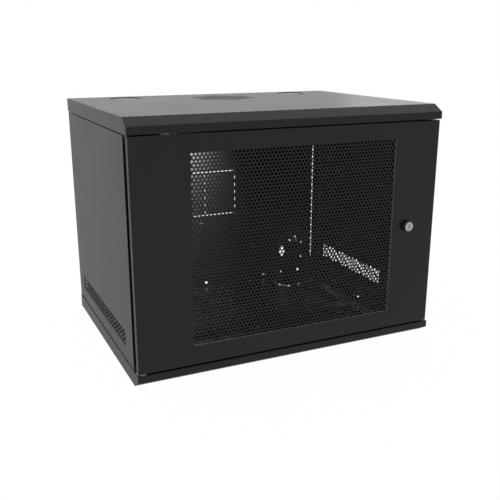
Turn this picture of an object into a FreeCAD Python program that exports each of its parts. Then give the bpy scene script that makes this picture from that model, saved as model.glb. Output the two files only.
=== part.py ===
import FreeCAD, Part
import math
import os

# Wall mount network cabinet, 8 rack units, in folded sheet steel with a perforated front door.
# Millimetres. +X to the right seen from the front, -Y to the front, +Z up.
# Origin: centre of the base's underside.

# ---- driving dimensions -------------------------------------------------------------------
# cabinet
width = 600.0
depth = 450.0
height = 455.0
sheet = 1.2
bend = 0.3

# base tray and top cover, the same pan the other way up
lip = 26.3
chamfer_back = 22.5
chamfer_rise = 13.0
lip_return = 22.0

# side and rear panels
panel_sheet = 1.0
panel_inset = 0.7
panel_gap = 2.2
panel_front = 25.2
panel_flange = 12.0
panel_fold = 8.0
panel_lap = 12.0
rear_gap = 1.8
rear_strip = 12.5
rear_hem = 20.0
rear_tab_height = 13.0
rear_tab_width = 21.0

# side vents: staggered field of small holes
vent_hole = 9.5
vent_pitch = 12.675
vent_columns = 31
vent_rows = 3
vent_front_margin = 49.8
vent_bottom_margin = 26.6
vent_hole_sides = 4
perforation_sides = 6

# corner posts
post_sheet = 1.5
front_post_width = 36.0
front_post_depth = 31.0
rear_post_depth = 38.0

# cable entries in the base and in the cover
entry_hole = 62.0
entry_channel_gap = 3.5
entry_from_rear = 55.0
entry_cover_lap = 2.5
entry_cover_sheet = 1.2
entry_cover_sides = 24
entry_cover_standoff = 2.0
entry_ear_reach = 8.0
entry_ear_width = 14.0

# six-sided fan vent in the cover
fan_vent_flats = 121.0
fan_vent_from_front = 332.0
fan_vent_hole = 15.0
fan_vent_pitch = 21.0

# openings in the rear panel
wall_slot_width = 14.0
wall_slot_length = 27.0
wall_slot_spacing = 407.0
wall_slot_height = 65.5
knockout_width = 150.5
knockout_height = 101.5
knockout_slot = 1.2
knockout_bridge = 6.0
tie_hole = 4.5
tie_hole_inset = 43.0
tie_hole_heights = (43.5, 82.0)

# openings in the base tray
rear_lip_hole = 6.5
rear_lip_hole_height = 9.5
rear_lip_slot = 10.0
rear_lip_hole_places = (50.0, 97.0, 146.5)
edge_slot_width = 6.0
edge_slot_length = 24.0
edge_slot_inset = 7.5
edge_slot_from_front = 239.0

# floor cross member
member_from_front = 170.0
member_end_gap = 6.5
member_top_width = 30.0
member_height = 12.8
member_foot = 12.0

# 19 inch rack rails and the slotted channels that carry them
rack_units = 8
rack_unit = 44.45
rack_hole = 9.5
rack_hole_inset = 7.55
rack_hole_steps = (6.35, 22.225, 38.1)
rack_opening = 450.0
rail_sheet = 1.5
rail_from_front = 64.0
rail_flange = 20.0
rail_web = 25.0
rail_travel = 150.0
rail_play = 0.1
channel_width = 22.5
channel_offset = 1.5
channel_height = 12.8
channel_post_gap = 2.0
channel_rear_gap = 25.0
channel_slot = 7.0
clamp_screw = 6.5

# clearance between pieces that are fixed to each other
fit_gap = 0.05

# door
door_side_gap = 2.0
door_gap = 2.0
door_setback = 1.5
door_side_depth = 12.0
door_depth = 20.0
door_hem = 12.0
window_left = 100.3
window_right = 96.3
window_top = 30.7
window_bottom = 35.7
mesh_sheet = 1.0
mesh_lap = 12.0
mesh_hole = 30.0
mesh_pitch = 38.0

# hinge
hinge_in = 10.0
hinge_back = 11.0
hinge_pin = 6.0
hinge_play = 0.05
hinge_washer = 18.0
hinge_washer_gap = 0.1
round_sides = 24
hinge_pin_rise = 12.0
hinge_collar = 10.0
hinge_collar_height = 3.0
pin_collar = 8.0
spring_length = 26.0
spring_outer = 9.0
spring_play = 0.3
spring_sides = 12
bracket_sheet = 1.5
bracket_reach = 15.0
bracket_width = 16.0
pin_reach = 4.0
pin_lever = 18.0
pin_lever_rod = 5.0

# lock
lock_in = 62.0
lock_above_middle = 3.0
lock_body = 20.0
lock_bezel = 21.0
lock_bezel_height = 8.0
lock_back = 14.0
lock_plug = 17.5
lock_plug_proud = 0.5
lock_play = 0.05
lock_hole_play = 0.2
key_slot_width = 2.0
key_slot_length = 9.0
key_slot_depth = 3.0
cam_gap = 2.5
cam_sheet = 2.5
cam_length = 46.0
cam_width = 16.0
cam_corner = 3.2
cam_square = 8.0
cam_screw_flats = 10.0
cam_screw_height = 2.2
keeper_sheet = 1.5
keeper_gap = 0.5
keeper_lap = 20.0
keeper_height = 32.0
keeper_clear = 2.0

# earthing point
earth_in = 68.0
earth_z = 95.0
earth_stud = 6.0
earth_stud_length = 20.0

# ---- places worked out from the sizes --------------------------------------------------------
half = width / 2
front = -depth / 2
rear = depth / 2
middle = height / 2
floor = sheet
ceiling = height - sheet
panel_outer = half - panel_inset
panel_inner = panel_outer - panel_sheet
panel_low = lip + panel_gap
panel_high = height - panel_low
panel_front_y = front + panel_front
post_front_y = panel_front_y + panel_sheet
door_front = front + door_setback
door_back = door_front + door_depth
door_side_back = door_front + door_side_depth
door_low = lip + door_gap
door_high = height - door_low
door_half = half - door_side_gap
mesh_front = door_front + sheet
hinge_x = -half + hinge_in
lock_x = door_half - lock_in
lock_z = middle + lock_above_middle
hinge_y = front + hinge_back
channel_top = floor + channel_height
channel_inner = rack_opening / 2 + channel_offset
channel_front_y = post_front_y + front_post_depth + channel_post_gap
entry_x = channel_inner - entry_channel_gap - entry_hole / 2
entry_y = rear - entry_from_rear
rail_front_y = front + rail_from_front
clamp_x = rack_opening / 2 + rail_flange / 2 + channel_offset / 2
clamp_y = rail_front_y + rail_web / 2
earth_x = half - earth_in

X = FreeCAD.Vector(1, 0, 0)
Y = FreeCAD.Vector(0, 1, 0)
Z = FreeCAD.Vector(0, 0, 1)


# ---- building blocks ---------------------------------------------------------------------------
def box(x0, x1, y0, y1, z0, z1):
    """A block between two corners, in any order."""
    low = FreeCAD.Vector(min(x0, x1), min(y0, y1), min(z0, z1))
    return Part.makeBox(abs(x1 - x0), abs(y1 - y0), abs(z1 - z0), low)


def rod(diameter, start, direction, length):
    """A round bar from a start point."""
    return Part.makeCylinder(diameter / 2, length, FreeCAD.Vector(*start), direction)


def polygon_prism(sides, flats, start, direction, length):
    """A regular prism, such as a nut's outside, given across its flats."""
    radius = flats / 2 / math.cos(math.pi / sides)
    across = direction.cross(Z if abs(direction.z) < 0.5 else X)
    corners = []
    for i in range(sides + 1):
        turn = FreeCAD.Rotation(direction, 360.0 * i / sides)
        corners.append(FreeCAD.Vector(*start) + turn.multVec(across) * radius)
    return Part.Face(Part.makePolygon(corners)).extrude(direction * length)


def slot_prism(long_way, length, slot_width, centre, direction, thickness):
    """A round-ended slot cutter, centred on its middle."""
    reach = (length - slot_width) / 2
    across = direction.cross(long_way)
    centre = FreeCAD.Vector(*centre)
    radius = slot_width / 2
    end_a = centre + long_way * reach
    end_b = centre - long_way * reach
    edges = [
        Part.LineSegment(end_b + across * radius, end_a + across * radius).toShape(),
        Part.Arc(end_a + across * radius, end_a + long_way * radius, end_a - across * radius).toShape(),
        Part.LineSegment(end_a - across * radius, end_b - across * radius).toShape(),
        Part.Arc(end_b - across * radius, end_b - long_way * radius, end_b + across * radius).toShape(),
    ]
    face = Part.Face(Part.Wire(edges))
    face.translate(direction * (-thickness / 2))
    return face.extrude(direction * thickness)


def rounded_edges(points, radii):
    """Edges along a path, each inner corner rounded by its own radius."""
    edges = []
    start = points[0]
    for i in range(1, len(points) - 1):
        corner = points[i]
        before = (points[i - 1] - corner).normalize()
        after = (points[i + 1] - corner).normalize()
        radius = radii[i]
        if radius <= 0:
            edges.append(Part.LineSegment(start, corner).toShape())
            start = corner
            continue
        half_angle = before.getAngle(after) / 2
        tangent = radius / math.tan(half_angle)
        bisector = (before + after).normalize()
        nearest = corner + bisector * (radius / math.sin(half_angle) - radius)
        arc_start = corner + before * tangent
        arc_end = corner + after * tangent
        edges.append(Part.LineSegment(start, arc_start).toShape())
        edges.append(Part.Arc(arc_start, nearest, arc_end).toShape())
        start = arc_end
    edges.append(Part.LineSegment(start, points[-1]).toShape())
    return edges


def folded_section(points, thickness, normal, radius=0.0):
    """Section of bent sheet, to the left of the path seen against the normal; square without a radius."""
    count = len(points)
    ways = [(points[i + 1] - points[i]).normalize() for i in range(count - 1)]
    lefts = [normal.cross(way) for way in ways]
    inner = [points[0] + lefts[0] * thickness]
    path_radii = [0.0] * count
    inner_radii = [0.0] * count
    for i in range(1, count - 1):
        both = lefts[i - 1] + lefts[i]
        inner.append(points[i] + both * (thickness / (1 + lefts[i - 1].dot(lefts[i]))))
        turns_left = ways[i - 1].cross(ways[i]).dot(normal) > 0
        if radius > 0:
            path_radii[i] = radius + thickness if turns_left else radius
            inner_radii[i] = radius if turns_left else radius + thickness
    inner.append(points[-1] + lefts[-1] * thickness)
    edges = rounded_edges(points, path_radii)
    edges.append(Part.LineSegment(points[-1], inner[-1]).toShape())
    edges += rounded_edges(inner[::-1], inner_radii[::-1])
    edges.append(Part.LineSegment(inner[0], points[0]).toShape())
    return Part.Face(Part.Wire(Part.__sortEdges__(edges)))


def side_view(pairs):
    """Points in the plane across X, from (y, z) pairs."""
    return [FreeCAD.Vector(0, y, z) for y, z in pairs]


def plan_view(pairs):
    """Points in the plane across Z, from (x, y) pairs."""
    return [FreeCAD.Vector(x, y, 0) for x, y in pairs]


def mirror_x(shape):
    return shape.mirror(FreeCAD.Vector(0, 0, 0), X)


def upside_down(shape):
    return shape.mirror(FreeCAD.Vector(0, 0, middle), Z)


def lattice(columns, rows, pitch):
    """Staggered places about the middle: columns stand pitch * cos 30 apart, odd ones have a row less."""
    places = []
    for column in range(columns):
        u = (column - (columns - 1) / 2) * pitch * math.cos(math.radians(30))
        count = rows - column % 2
        for row in range(count):
            places.append((u, (row - (count - 1) / 2) * pitch))
    return places


def hole_wire(centre, across, up, diameter, sides):
    """A small perforation as a regular polygon with the hole's own width."""
    corners = []
    for i in range(sides + 1):
        angle = 2 * math.pi * (i + 0.5) / sides
        corners.append(centre + (across * math.cos(angle) + up * math.sin(angle)) * (diameter / 2))
    return Part.makePolygon(corners)


def perforated_plate(outline, places, origin, across, up, diameter, sides, thickness):
    """A flat plate with a field of perforations, made as one pierced face."""
    holes = [hole_wire(origin + across * u + up * v, across, up, diameter, sides) for u, v in places]
    face = Part.makeFace([Part.makePolygon(outline)] + holes, "Part::FaceMakerBullseye")
    return face.extrude(across.cross(up) * thickness)


def union(*shapes):
    whole = shapes[0].fuse(list(shapes[1:]))
    return whole.removeSplitter()


# ---- base tray and top cover ---------------------------------------------------------------------
def pan():
    """The pan shared by the base and the cover: chamfered front lip with a return, side and rear lips."""
    path = side_view([
        (front + lip_return, lip),
        (front, lip),
        (front, chamfer_rise),
        (front + chamfer_back, 0),
        (rear, 0),
        (rear, lip),
    ])
    strip = folded_section(path, sheet, X, bend)
    strip.translate(X * -half)
    strip = strip.extrude(X * width)
    radii = [0.0] + [bend + sheet] * 4 + [0.0]
    edges = rounded_edges(path, radii)
    edges.append(Part.LineSegment(path[-1], path[0]).toShape())
    cheek = Part.Face(Part.Wire(Part.__sortEdges__(edges)))
    left = cheek.extrude(X * sheet)
    left.translate(X * -half)
    hinge_hole = rod(hinge_pin + 2 * hinge_play, (hinge_x, hinge_y, lip - 2 * sheet), Z, 3 * sheet)
    entries = [
        rod(entry_hole, (side * entry_x, entry_y, -sheet), Z, 3 * sheet) for side in (1, -1)
    ]
    return union(strip, left, mirror_x(left)).cut([hinge_hole] + entries)


def base_tray():
    tray = pan()
    tools = []
    for x in rear_lip_hole_places:
        for side in (1, -1):
            start = (side * (half - x), rear - 2 * sheet, rear_lip_hole_height)
            tools.append(polygon_prism(perforation_sides, rear_lip_hole, start, Y, 3 * sheet))
    tools.append(box(-rear_lip_slot / 2, rear_lip_slot / 2, rear - 2 * sheet, rear + sheet,
                     rear_lip_hole_height - rear_lip_hole / 2, rear_lip_hole_height + rear_lip_hole / 2))
    slot_y = front + edge_slot_from_front
    for side in (1, -1):
        slot_x = side * (half - edge_slot_inset)
        tools.append(box(slot_x - edge_slot_width / 2, slot_x + edge_slot_width / 2,
                         slot_y - edge_slot_length / 2, slot_y + edge_slot_length / 2, -sheet, 2 * sheet))
    return tray.cut(tools)


def fan_vent_places():
    """Staggered places inside the six-sided vent, which points to the front and to the rear."""
    reach = fan_vent_flats / 2 - fan_vent_hole / 2
    count = int(fan_vent_flats / fan_vent_pitch) + 2
    places = []
    for column in range(-count, count + 1):
        for row in range(-count, count + 1):
            u = column * fan_vent_pitch * math.cos(math.radians(30))
            v = (row + (column % 2) / 2) * fan_vent_pitch
            turns = [math.radians(angle) for angle in (0, 60, 120)]
            if max(abs(u * math.cos(turn) + v * math.sin(turn)) for turn in turns) <= reach:
                places.append((u, v))
    return places


def top_cover():
    cover = upside_down(pan())
    centre = FreeCAD.Vector(0, front + fan_vent_from_front, ceiling - sheet)
    holes = []
    for u, v in fan_vent_places():
        wire = hole_wire(centre + X * u + Y * v, X, Y, fan_vent_hole, perforation_sides)
        holes.append(Part.Face(wire).extrude(Z * 3 * sheet))
    return cover.cut(holes)


def cable_cover(side, standoff):
    """Plate over a cable entry on the inside of the base; held clear of it, it has a foot at each ear."""
    x = side * entry_x
    z = floor + standoff
    radius = entry_hole / 2 + entry_cover_lap
    disc = polygon_prism(entry_cover_sides, 2 * radius, (x, entry_y, z), Z, entry_cover_sheet)
    pieces = [disc]
    left = x - entry_ear_width / 2
    right = x + entry_ear_width / 2
    for end in (1, -1):
        inside = entry_y + end * (radius - entry_cover_sheet)
        tip = entry_y + end * (radius + entry_ear_reach)
        foot = entry_y + end * radius
        pieces.append(box(left, right, inside, tip, z, z + entry_cover_sheet))
        if standoff > 0:
            pieces.append(box(left, right, foot, tip, floor, z))
    return union(*pieces)


# ---- shell ---------------------------------------------------------------------------------------
def side_panel():
    """Left panel: pierced plate, folded front edge, and edges folded twice to hook behind the lips."""
    back_y = rear - panel_sheet
    length = back_y - panel_front_y
    origin = FreeCAD.Vector(-panel_outer, panel_front_y, panel_low)
    outline = [
        origin,
        origin + Y * length,
        origin + Y * length + Z * (panel_high - panel_low),
        origin + Z * (panel_high - panel_low),
        origin,
    ]
    field_length = (vent_columns - 1) * vent_pitch * math.cos(math.radians(30))
    field_height = (vent_rows - 1) * vent_pitch
    middle_y = vent_front_margin + field_length / 2
    middle_z = vent_bottom_margin + field_height / 2
    places = [(u + middle_y, v + middle_z) for u, v in lattice(vent_columns, vent_rows, vent_pitch)]
    plate = perforated_plate(outline, places, origin, Y, Z, vent_hole, vent_hole_sides, panel_sheet)
    flange_inner = -panel_outer + panel_flange
    flange = box(-panel_outer, flange_inner, panel_front_y, post_front_y, panel_low, panel_high)
    fold_back = rear - rear_post_depth - fit_gap
    fold_inner = -panel_outer + panel_fold
    hook_low = panel_low - panel_lap
    fold = box(-panel_outer, fold_inner, panel_front_y, fold_back, panel_low, panel_low + panel_sheet)
    hook = box(fold_inner - panel_sheet, fold_inner, panel_front_y, fold_back, hook_low, panel_low)
    return union(plate, flange, fold, hook, upside_down(fold), upside_down(hook))


def rear_panel():
    """Rear sheet with hems behind the lips, tabs to the rear posts, wall slots and knock-outs."""
    back = rear - sheet
    edge = half - rear_strip - rear_gap
    plate = box(-edge, edge, back, rear, panel_low, panel_high)
    tab_end = panel_inner - post_sheet - fit_gap
    tab_y = rear - post_sheet - fit_gap - sheet
    tab_top = panel_low + rear_tab_height
    tab_start = tab_end - rear_tab_width
    joggle = box(tab_start, edge, tab_y, rear - sheet / 2, panel_low, tab_top)
    corner_tab = box(tab_start, tab_end, tab_y, tab_y + sheet, panel_low, tab_top).fuse(joggle)
    hem_low = panel_low - panel_lap
    hem = box(-edge, edge, back - sheet, back, hem_low, hem_low + rear_hem)
    pieces = [plate]
    for fold in (corner_tab, mirror_x(corner_tab), hem):
        pieces += [fold, upside_down(fold)]
    tools = []
    for x in (-wall_slot_spacing / 2, wall_slot_spacing / 2):
        for z in (wall_slot_height, height - wall_slot_height):
            tools.append(slot_prism(Z, wall_slot_length, wall_slot_width, (x, rear, z), Y, 4 * sheet))
    tools += knockout_slots()
    for x in (-half + tie_hole_inset, half - tie_hole_inset):
        for z in tie_hole_heights:
            tools.append(polygon_prism(perforation_sides, tie_hole, (x, back - sheet, z), Y, 3 * sheet))
    return union(*pieces).cut(tools)


def knockout_slots():
    """Narrow cuts round two blanks side by side, which stay held at their corners."""
    reach_x = knockout_width / 2
    reach_z = knockout_height / 2
    cut = knockout_slot / 2
    back = rear - 2 * sheet
    slots = []
    cut_reach = reach_x - knockout_bridge
    for side in (1, -1):
        z = middle + side * reach_z
        slots.append(box(-cut_reach, cut_reach, back, rear + sheet, z - cut, z + cut))
    for x in (-reach_x, 0, reach_x):
        low = middle - reach_z + knockout_bridge
        high = middle + reach_z - knockout_bridge
        slots.append(box(x - cut, x + cut, back, rear + sheet, low, high))
    return slots


def front_post():
    """Left front post: folded channel from floor to ceiling, notched at its ends for the panel's folds."""
    outer = -panel_inner
    back = post_front_y + front_post_depth
    path = plan_view([
        (outer, back),
        (outer, post_front_y),
        (outer + front_post_width, post_front_y),
        (outer + front_post_width, back),
    ])
    section = folded_section(path, post_sheet, Z)
    section.translate(Z * floor)
    post = section.extrude(Z * (ceiling - floor))
    notch_inner = outer + panel_fold - panel_sheet + fit_gap
    notch = box(outer, notch_inner, post_front_y, back, floor, panel_low + panel_sheet)
    return post.cut([notch, upside_down(notch)])


def rear_post():
    """Left rear post: angle whose rear leg closes the corner between the lips."""
    outer = -panel_inner
    path = plan_view([
        (-half + rear_strip, rear),
        (outer, rear),
        (outer, rear - rear_post_depth),
    ])
    section = folded_section(path, post_sheet, Z)
    section.translate(Z * panel_low)
    angle = section.extrude(Z * (panel_high - panel_low))
    leg_back = rear - sheet - bend - fit_gap
    side_leg = box(outer, outer + post_sheet, rear - rear_post_depth, leg_back, floor, ceiling)
    return union(angle, side_leg)


def floor_cross_member():
    """Hat section across the floor, screwed down through its feet."""
    y = front + member_from_front
    top = floor + member_height
    path = side_view([
        (y - member_foot, floor + sheet),
        (y, floor + sheet),
        (y, top),
        (y + member_top_width, top),
        (y + member_top_width, floor + sheet),
        (y + member_top_width + member_foot, floor + sheet),
    ])
    hat = folded_section(path, sheet, -X)
    reach = channel_inner - member_end_gap
    hat.translate(X * -reach)
    return hat.extrude(X * 2 * reach)


# ---- rack rails ------------------------------------------------------------------------------------
def rail_channel():
    """Right lower channel: its long slot lets the rail slide back once the clamp screw is loose."""
    outer = channel_inner + channel_width
    path = [
        FreeCAD.Vector(channel_inner, 0, floor),
        FreeCAD.Vector(channel_inner, 0, channel_top),
        FreeCAD.Vector(outer, 0, channel_top),
        FreeCAD.Vector(outer, 0, floor),
    ]
    section = folded_section(path, rail_sheet, Y)
    section.translate(Y * channel_front_y)
    body = section.extrude(Y * (rear - channel_rear_gap - channel_front_y))
    slot_centre = (clamp_x, clamp_y + rail_travel / 2, channel_top)
    return body.cut(slot_prism(Y, rail_travel + channel_slot, channel_slot, slot_centre, Z, 4 * rail_sheet))


def rack_rail():
    """Right rail: pierced front flange, web, and a foot at each end that sits on the channels."""
    inner = rack_opening / 2
    outer = inner + rail_flange
    low = channel_top + rail_play
    high = height - low
    back = rail_front_y + rail_web
    path = plan_view([(inner, rail_front_y), (outer, rail_front_y), (outer, back)])
    section = folded_section(path, rail_sheet, Z)
    section.translate(Z * low)
    angle = section.extrude(Z * (high - low))
    foot = box(inner, outer - rail_sheet / 2, rail_front_y + rail_sheet / 2, back, low, low + rail_sheet)
    foot = foot.cut(polygon_prism(perforation_sides, clamp_screw, (clamp_x, clamp_y, 0), Z, height / 2))
    first_unit = middle - rack_units * rack_unit / 2
    hole_inner = inner + rack_hole_inset - rack_hole / 2
    hole_outer = hole_inner + rack_hole
    hole_front = rail_front_y - rail_sheet
    hole_back = rail_front_y + 2 * rail_sheet
    holes = []
    for unit in range(rack_units):
        for step in rack_hole_steps:
            hole_low = first_unit + unit * rack_unit + step - rack_hole / 2
            holes.append(box(hole_inner, hole_outer, hole_front, hole_back, hole_low, hole_low + rack_hole))
    return union(angle, foot, upside_down(foot)).cut(holes)


# ---- door ------------------------------------------------------------------------------------------
def window():
    """Low and high corners of the door's window, as (x, z) pairs."""
    low = (-door_half + window_left, door_low + window_bottom)
    high = (door_half - window_right, door_high - window_top)
    return low, high


def door_skin():
    """Folded door: face with the window, shallow side flanges, deeper hemmed flanges at top and bottom."""
    low, high = window()
    outside = box(-door_half, door_half, door_front, door_side_back, door_low, door_high)
    upright = [edge for edge in outside.Edges if abs(edge.BoundBox.YLength) < 0.01
               and edge.BoundBox.YMin < door_front + 0.01]
    outside = outside.makeFillet(bend + sheet, upright)
    inside = door_half - sheet
    hollow = box(-inside, inside, mesh_front, door_back, door_low + sheet, door_high - sheet)
    path = side_view([
        (door_side_back, door_low),
        (door_back, door_low),
        (door_back, door_low + door_hem),
    ])
    section = folded_section(path, sheet, X)
    section.translate(X * -door_half)
    hem = section.extrude(X * 2 * door_half)
    pane = box(low[0], high[0], door_front - sheet, mesh_front + sheet, low[1], high[1])
    lock_hole = rod(lock_body + lock_hole_play, (lock_x, door_front - sheet, lock_z), Y, 3 * sheet)
    pin_holes = [
        rod(hinge_pin + 2 * hinge_play, (hinge_x, hinge_y, z - sheet), Z, 3 * sheet)
        for z in (door_low, door_high - sheet)
    ]
    return union(outside.cut([hollow, pane, lock_hole]), hem, upside_down(hem)).cut(pin_holes)


def door_mesh_panel():
    """Perforated sheet behind the window, on a staggered pitch with a plain margin that laps the face."""
    low, high = window()
    left, right = low[0] - mesh_lap, high[0] + mesh_lap
    bottom, top = low[1] - mesh_lap, high[1] + mesh_lap
    row_pitch = mesh_pitch * math.cos(math.radians(30))
    columns = int((high[0] - low[0] - mesh_hole) / mesh_pitch)
    rows = int((high[1] - low[1] - mesh_hole) / row_pitch) + 1
    centre_x = (low[0] + high[0]) / 2
    centre_z = (low[1] + high[1]) / 2
    places = []
    for row in range(rows):
        v = (row - (rows - 1) / 2) * row_pitch
        count = columns + 1 - row % 2
        places += [((column - (count - 1) / 2) * mesh_pitch, v) for column in range(count)]
    origin = FreeCAD.Vector(centre_x, mesh_front + mesh_sheet, centre_z)
    corners = [(left, bottom), (right, bottom), (right, top), (left, top), (left, bottom)]
    outline = [FreeCAD.Vector(x, origin.y, z) for x, z in corners]
    return perforated_plate(outline, places, origin, X, Z, mesh_hole, perforation_sides, mesh_sheet)


def lower_hinge_pin():
    """Pin held in the base's front return by a collar below it."""
    low = lip - sheet - hinge_collar_height
    collar = polygon_prism(6, hinge_collar, (hinge_x, hinge_y, low), Z, hinge_collar_height)
    return union(collar, rod(hinge_pin, (hinge_x, hinge_y, low), Z, door_low + hinge_pin_rise - low))


def lower_hinge_washer():
    """Thick washer that carries the door."""
    start = (hinge_x, hinge_y, lip)
    thickness = door_gap - hinge_washer_gap
    disc = polygon_prism(round_sides, hinge_washer, start, Z, thickness)
    return disc.cut(polygon_prism(round_sides, hinge_pin + 2 * hinge_play, start, Z, thickness))


def collar_low():
    return door_high - sheet - fit_gap - hinge_collar_height


def upper_hinge_pin():
    """Sprung pin that comes down into the door by its lever, so that the door lifts off."""
    spring_low = collar_low() - spring_length
    top = door_high + door_gap + sheet + pin_reach
    low = spring_low - bracket_sheet - pin_lever_rod - rail_play
    shaft = rod(hinge_pin, (hinge_x, hinge_y, low), Z, top - low)
    collar = polygon_prism(6, pin_collar, (hinge_x, hinge_y, collar_low()), Z, hinge_collar_height)
    lever_start = (hinge_x, hinge_y, low + pin_lever_rod / 2)
    lever = polygon_prism(spring_sides, pin_lever_rod, lever_start, X, pin_lever)
    return union(shaft, collar, lever)


def hinge_spring():
    """Envelope of the coil spring round the pin, between the bracket's shelf and the collar."""
    low = collar_low() - spring_length + fit_gap
    length = spring_length - 2 * fit_gap
    start = (hinge_x, hinge_y, low)
    outside = polygon_prism(spring_sides, spring_outer, start, Z, length)
    return outside.cut(polygon_prism(spring_sides, hinge_pin + spring_play, start, Z, length))


def hinge_pin_bracket():
    """Angle on the back of the door's face; its shelf guides the pin and holds the spring."""
    top = collar_low() - spring_length
    left = -door_half + sheet
    path = side_view([
        (mesh_front + bracket_reach, top - bracket_sheet),
        (mesh_front, top - bracket_sheet),
        (mesh_front, top + spring_length),
    ])
    section = folded_section(path, bracket_sheet, -X)
    section.translate(X * left)
    angle = section.extrude(X * bracket_width)
    start = (hinge_x, hinge_y, top - 2 * bracket_sheet)
    return angle.cut(rod(hinge_pin + 2 * hinge_play, start, Z, 3 * bracket_sheet))


# ---- lock ------------------------------------------------------------------------------------------
def lock_housing():
    """Barrel through the door's face with a raised bezel, bored for the plug."""
    bezel_front = door_front - lock_bezel_height
    bezel = polygon_prism(round_sides, lock_bezel, (lock_x, bezel_front, lock_z), Y, lock_bezel_height)
    barrel = polygon_prism(round_sides, lock_body, (lock_x, door_front, lock_z), Y, lock_back)
    length = lock_bezel_height + lock_back
    bore = polygon_prism(round_sides, lock_plug + 2 * lock_play, (lock_x, bezel_front, lock_z), Y, length)
    return union(bezel, barrel).cut(bore)


def cam_front():
    return door_side_back + cam_gap


def lock_plug_piece():
    """Turning plug with the key slot in its face and a square tail that carries the cam."""
    face = door_front - lock_bezel_height - lock_plug_proud
    plug = rod(lock_plug, (lock_x, face, lock_z), Y, cam_front() - face)
    tail = square_bar(cam_square, cam_front(), cam_sheet)
    key_slot = box(lock_x - key_slot_width / 2, lock_x + key_slot_width / 2, face - key_slot_depth,
                   face + key_slot_depth, lock_z - key_slot_length / 2, lock_z + key_slot_length / 2)
    return union(plug, tail).cut(key_slot)


def square_bar(side, start_y, length):
    """Square bar on the lock's axis."""
    reach = side / 2
    return box(lock_x - reach, lock_x + reach, start_y, start_y + length, lock_z - reach, lock_z + reach)


def lock_cam():
    """Flat cam, unlatched with its nose up; a quarter turn brings the nose behind the keeper."""
    reach = cam_length - cam_width / 2
    hub = rod(cam_width, (lock_x, cam_front(), lock_z), Y, cam_sheet)
    nose = box(lock_x - cam_width / 2, lock_x + cam_width / 2, cam_front(), cam_front() + cam_sheet,
               lock_z, lock_z + reach + cam_width / 2)
    corners = [edge for edge in nose.Edges if edge.BoundBox.YLength > cam_sheet / 2
               and edge.BoundBox.ZMin > lock_z + reach]
    nose = nose.makeChamfer(cam_corner, corners)
    square_hole = square_bar(cam_square + 2 * fit_gap, cam_front() - cam_sheet, 3 * cam_sheet)
    return union(hub, nose).cut(square_hole)


def cam_screw():
    """Six-sided head that holds the cam on the plug's tail."""
    start = (lock_x, cam_front() + cam_sheet, lock_z)
    return polygon_prism(6, cam_screw_flats, start, Y, cam_screw_height)


def lock_keeper():
    """C-shaped bracket on the right front post; the cam's nose turns in behind its front lip."""
    outer = lock_x + cam_length + keeper_clear + keeper_sheet
    lip_front = door_side_back + keeper_gap
    path = plan_view([
        (outer - keeper_lap, lip_front),
        (outer, lip_front),
        (outer, post_front_y),
        (outer - keeper_lap, post_front_y),
    ])
    section = folded_section(path, keeper_sheet, Z)
    section.translate(Z * (lock_z - keeper_height / 2))
    return section.extrude(Z * keeper_height)


# ---- earthing point ----------------------------------------------------------------------------------
def earth_stud_piece():
    """Stud welded to the inside of the rear panel."""
    return rod(earth_stud, (earth_x, rear - sheet, earth_z), -Y, earth_stud_length)


# ---- export --------------------------------------------------------------------------------------------
def build():
    nodes = {
        "base_tray": base_tray(),
        "top_cover": top_cover(),
        "left_side_panel": side_panel(),
        "right_side_panel": mirror_x(side_panel()),
        "rear_panel": rear_panel(),
        "front_left_post": front_post(),
        "front_right_post": mirror_x(front_post()),
        "rear_left_post": rear_post(),
        "rear_right_post": mirror_x(rear_post()),
        "floor_cross_member": floor_cross_member(),
        "base_left_cable_cover": cable_cover(-1, entry_cover_standoff),
        "base_right_cable_cover": cable_cover(1, entry_cover_standoff),
        "top_left_cable_cover": upside_down(cable_cover(-1, 0)),
        "top_right_cable_cover": upside_down(cable_cover(1, 0)),
        "door_skin": door_skin(),
        "door_mesh_panel": door_mesh_panel(),
        "lower_hinge_pin": lower_hinge_pin(),
        "lower_hinge_washer": lower_hinge_washer(),
        "upper_hinge_pin": upper_hinge_pin(),
        "hinge_spring": hinge_spring(),
        "hinge_pin_bracket": hinge_pin_bracket(),
        "lock_housing": lock_housing(),
        "lock_plug": lock_plug_piece(),
        "lock_cam": lock_cam(),
        "cam_screw": cam_screw(),
        "lock_keeper": lock_keeper(),
        "earth_stud": earth_stud_piece(),
    }
    channel = rail_channel()
    rail = rack_rail()
    nodes["lower_right_rail_channel"] = channel
    nodes["upper_right_rail_channel"] = upside_down(channel)
    nodes["lower_left_rail_channel"] = mirror_x(channel)
    nodes["upper_left_rail_channel"] = mirror_x(upside_down(channel))
    nodes["right_rack_rail"] = rail
    nodes["left_rack_rail"] = mirror_x(rail)
    return nodes


os.makedirs("parts", exist_ok=True)
for name, shape in build().items():
    shape.exportStep(os.path.join("parts", name + ".step"))
    print(name, "solids", len(shape.Solids), "volume", round(shape.Volume, 1), "valid", shape.isValid())
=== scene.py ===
import math
import bmesh
import bpy
from mathutils import Matrix, Vector


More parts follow.
